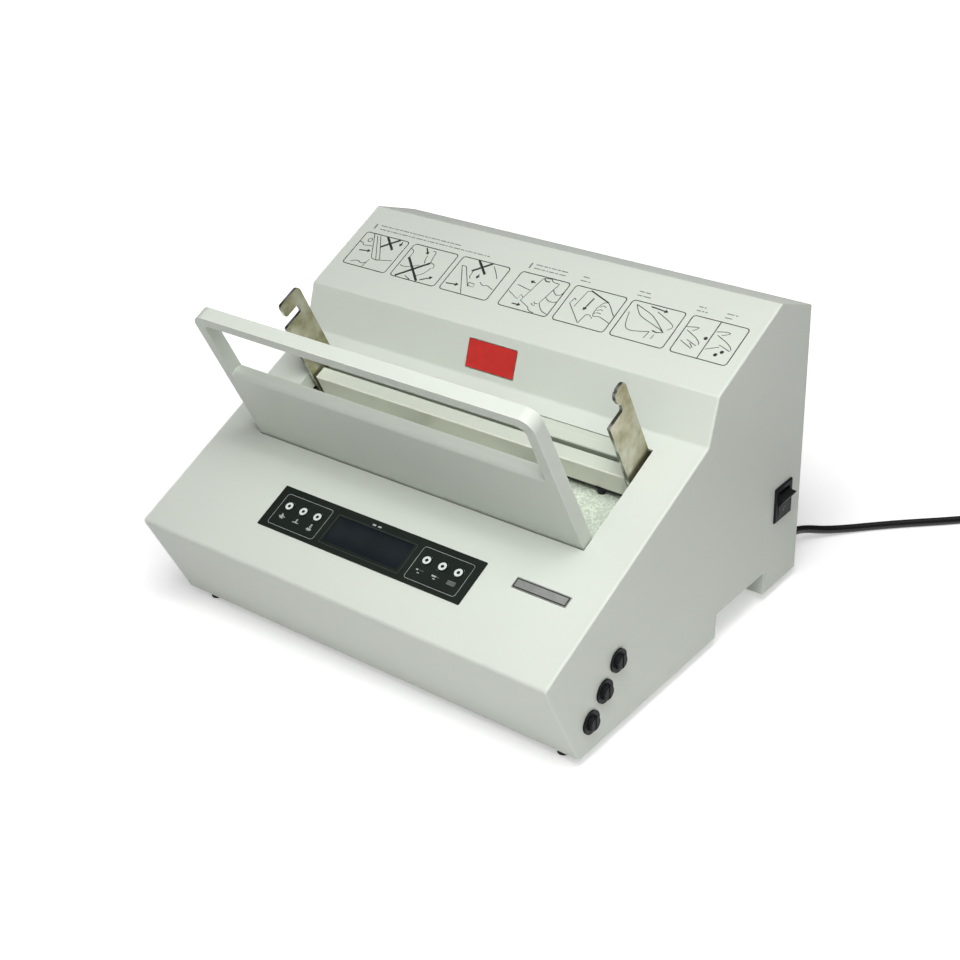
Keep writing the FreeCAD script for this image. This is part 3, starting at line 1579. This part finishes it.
def place_shape(label, shape, placement=None):
    piece = DOCUMENT.addObject("Part::Feature", label)
    piece.Label = label
    piece.Shape = shape
    piece.Placement = placement or FreeCAD.Placement()
    PARTS.append(piece)
    return piece


def make_gland():
    """The cord's gland in the rear panel: a stub, a flange and a tapered boot."""
    gland = Piece("cord_gland", MACHINE, (GLAND_PLACE, HEEL[0], d.gland_z))
    stub = disc(0.0, 0.0, d.gland_radius - d.sheet - d.fit_gap)
    gland.add("front", -3 * d.sheet, 0.0, stub)
    gland.add("front", 0.0, d.gland_flange, disc(0.0, 0.0, d.gland_radius))
    tip = d.gland_flange + d.boot_length
    boot = gland.add("front", d.gland_flange, tip, disc(0.0, 0.0, d.gland_radius - d.sheet))
    boot.TaperAngle = -4.0
    return gland


def make_cord():
    edges, radii = bent_path(cord_route())
    print("cord bends, mm:", " ".join(f"{radius:.0f}" for radius in radii))
    place_shape("mains_cord", tube(edges))


def make_coil():
    edges = coil_path()
    print(f"least gap between the coil's turns {least_gap(edges):.2f} mm")
    place_shape("cord_coil", tube(edges))


def make_plug():
    """A moulded mains plug on its back, with its cord entry at the coil's top layer."""
    cord_radius, radius, height, boot_length = (
        sheet_value(name) for name in ("cord_radius", "plug_radius", "plug_height", "plug_boot")
    )
    turns = sheet_value("coil_turns")
    way, up = coil_direction(turns), FreeCAD.Vector(0, 0, 1)
    entry = coil_point(turns) + way * 2 * cord_radius
    sink, slope, pin_place, pin_radius, pin_length = 4.0, 1.5, 9.5, 2.4, 19.0
    ahead, mouth = FreeCAD.Vector(1, 0, 0), FreeCAD.Vector(0, 0, entry.z)
    centre = ahead * (boot_length + radius - sink)
    plug = Part.makeCone(radius - slope, radius, height, centre, up)
    boot = Part.makeCone(cord_radius + 0.6, 2 * cord_radius, boot_length, mouth, ahead)
    plug = plug.fuse(boot)
    for side in (-pin_place, pin_place):
        foot = centre + FreeCAD.Vector(0, side, height)
        plug = plug.fuse(Part.makeCylinder(pin_radius, pin_length, foot, up))
    turn = FreeCAD.Rotation(up, math.degrees(math.atan2(way.y, way.x)))
    place = FreeCAD.Placement(FreeCAD.Vector(entry.x, entry.y, 0), turn)
    place_shape("mains_plug", plug.removeSplitter(), place)


def make_all():
    make_top_cover()
    make_rear_panel()
    make_base_plate()
    make_feet()
    make_bed_plate()
    make_cross_plates()
    make_bearings()
    make_rear_jaw()
    make_rear_strip()
    make_front_jaw()
    make_glides()
    for side in SIDES:
        make_side_panel(side)
        make_side_frame(side)
        make_jaw_nut(side)
        make_lead_screw(side)
        make_hook_plate(side)
        make_hook_guide(side)
        make_hook_spring(side)
    make_crossbar()
    make_gears()
    make_output_shaft()
    make_gearbox()
    make_motor()
    make_lid()
    make_lid_pins()
    make_keypad_panel()
    make_display()
    for number, x in enumerate(key_places(), start=1):
        make_key(number, x)
    make_keypad_board()
    make_control_board()
    make_transformer()
    make_switch()
    make_rocker()
    make_fuse_holders()
    for name, place in zip(("lower", "middle", "upper"), fuse_places()):
        make_fuse_cap(name, place)
    make_gland()
    make_cord()
    make_coil()
    make_plug()


def check_document():
    """Stop if any object failed, any cut removed nothing or any piece isn't sound."""
    for thing in DOCUMENT.Objects:
        if "Invalid" in thing.State or "Error" in thing.State:
            raise RuntimeError(f"{thing.Name} failed: {thing.State}")
    if IDLE_CUTS:
        raise RuntimeError(f"these cuts remove nothing: {IDLE_CUTS}")
    for piece in PARTS:
        if piece.Shape.isNull() or not piece.Shape.isValid():
            raise RuntimeError(f"{piece.Label} has no sound shape")


def export_parts():
    os.makedirs("parts", exist_ok=True)
    for piece in PARTS:
        piece.Shape.exportStep(f"parts/{piece.Label}.step")
        print(f"{piece.Label}: {len(piece.Shape.Solids)} solids")
    print(f"{len(PARTS)} pieces written")


make_all()
DOCUMENT.recompute()
check_document()
export_parts()
